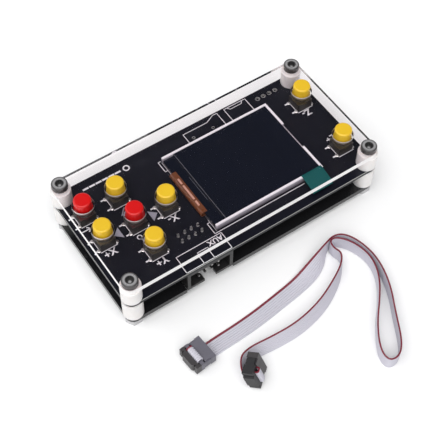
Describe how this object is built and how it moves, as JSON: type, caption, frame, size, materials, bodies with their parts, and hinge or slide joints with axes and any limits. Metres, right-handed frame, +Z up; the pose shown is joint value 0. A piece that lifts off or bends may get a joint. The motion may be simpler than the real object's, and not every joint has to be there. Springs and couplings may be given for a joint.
{
  "type": "handheld jog controller board with ribbon cable",
  "caption": "Handheld controller for a small milling machine: circuit board between acrylic plates, with screen, push buttons, sockets and a loose ribbon cable.",
  "frame": {"origin": "middle of the device, on the surface that its four nuts stand on; the loose cable is not counted", "axes": "+X along the device from the direction keys to the Z keys, +Y from the cable header to the edge with the card and data sockets, +Z up through the screen"},
  "size_m": [0.101, 0.1084, 0.0247],
  "materials": {
    "clear_acrylic": "clear, polished",
    "black_acrylic": "gloss",
    "black_board": "satin solder mask",
    "white_nylon": "slightly milky",
    "bright_steel": "bright",
    "white_frame": "satin",
    "backlight_film": "diffusing film",
    "dark_screen_glass": "polished, dark",
    "amber_flex": "glossy film",
    "teal_film": "thin film",
    "black_plastic": "moulded",
    "pressed_steel": "pressed",
    "tinned_brass": "tinned",
    "red_cap": "gloss",
    "yellow_cap": "gloss",
    "grey_ribbon": "vinyl, one edge wire red",
    "grey_plug": "moulded"
  },
  "bodies": {
    "device": {"bottom_cover": "black_acrylic", "card_socket_base": "black_plastic", "card_socket_cover": "pressed_steel", "case_nuts": "bright_steel", "case_screws": "bright_steel", "circuit_board": "black_board", "controller_chip": "black_plastic", "data_socket_shell": "pressed_steel", "data_socket_tongue": "black_plastic", "film_tab": "teal_film", "header_pins": "tinned_brass", "header_shroud": "black_plastic", "lower_spacer_front_left": "white_nylon", "lower_spacer_front_right": "white_nylon", "lower_spacer_rear_left": "white_nylon", "lower_spacer_rear_right": "white_nylon", "plug_a_body": "grey_plug", "plug_a_clip": "grey_plug", "plug_a_cover": "grey_plug", "plug_b_body": "grey_plug", "plug_b_clip": "grey_plug", "plug_b_cover": "grey_plug", "ribbon_cable": "grey_ribbon", "screen_backlight": "backlight_film", "screen_flex": "amber_flex", "screen_frame": "white_frame", "screen_glass": "dark_screen_glass", "small_parts": "black_plastic", "switch_base_back": "black_plastic", "switch_base_select": "black_plastic", "switch_base_x_minus": "black_plastic", "switch_base_x_plus": "black_plastic", "switch_base_y_minus": "black_plastic", "switch_base_y_plus": "black_plastic", "switch_base_z_minus": "black_plastic", "switch_base_z_plus": "black_plastic", "switch_covers": "pressed_steel", "switch_domes": "pressed_steel", "switch_legs": "tinned_brass", "top_cover": "clear_acrylic", "upper_spacer_front_left": "white_nylon", "upper_spacer_front_right": "white_nylon", "upper_spacer_rear_left": "white_nylon", "upper_spacer_rear_right": "white_nylon"},
    "button_x_plus": {"plunger_x_plus": "black_plastic", "cap_x_plus": "yellow_cap"},
    "button_x_minus": {"plunger_x_minus": "black_plastic", "cap_x_minus": "yellow_cap"},
    "button_y_plus": {"plunger_y_plus": "black_plastic", "cap_y_plus": "yellow_cap"},
    "button_y_minus": {"plunger_y_minus": "black_plastic", "cap_y_minus": "yellow_cap"},
    "button_select": {"plunger_select": "black_plastic", "cap_select": "red_cap"},
    "button_back": {"plunger_back": "black_plastic", "cap_back": "red_cap"},
    "button_z_minus": {"plunger_z_minus": "black_plastic", "cap_z_minus": "yellow_cap"},
    "button_z_plus": {"plunger_z_plus": "black_plastic", "cap_z_plus": "yellow_cap"}
  },
  "joints": [
    {"name": "press_x_plus", "type": "slide", "parent": "device", "child": "button_x_plus", "axis": [0, 0, -1], "range_m": [0, 0.00025], "stiffness_N_per_m": 4000, "springref_m": -0.0003},
    {"name": "press_x_minus", "type": "slide", "parent": "device", "child": "button_x_minus", "axis": [0, 0, -1], "range_m": [0, 0.00025], "stiffness_N_per_m": 4000, "springref_m": -0.0003},
    {"name": "press_y_plus", "type": "slide", "parent": "device", "child": "button_y_plus", "axis": [0, 0, -1], "range_m": [0, 0.00025], "stiffness_N_per_m": 4000, "springref_m": -0.0003},
    {"name": "press_y_minus", "type": "slide", "parent": "device", "child": "button_y_minus", "axis": [0, 0, -1], "range_m": [0, 0.00025], "stiffness_N_per_m": 4000, "springref_m": -0.0003},
    {"name": "press_select", "type": "slide", "parent": "device", "child": "button_select", "axis": [0, 0, -1], "range_m": [0, 0.00025], "stiffness_N_per_m": 4000, "springref_m": -0.0003},
    {"name": "press_back", "type": "slide", "parent": "device", "child": "button_back", "axis": [0, 0, -1], "range_m": [0, 0.00025], "stiffness_N_per_m": 4000, "springref_m": -0.0003},
    {"name": "press_z_minus", "type": "slide", "parent": "device", "child": "button_z_minus", "axis": [0, 0, -1], "range_m": [0, 0.00025], "stiffness_N_per_m": 4000, "springref_m": -0.0003},
    {"name": "press_z_plus", "type": "slide", "parent": "device", "child": "button_z_plus", "axis": [0, 0, -1], "range_m": [0, 0.00025], "stiffness_N_per_m": 4000, "springref_m": -0.0003}
  ]
}
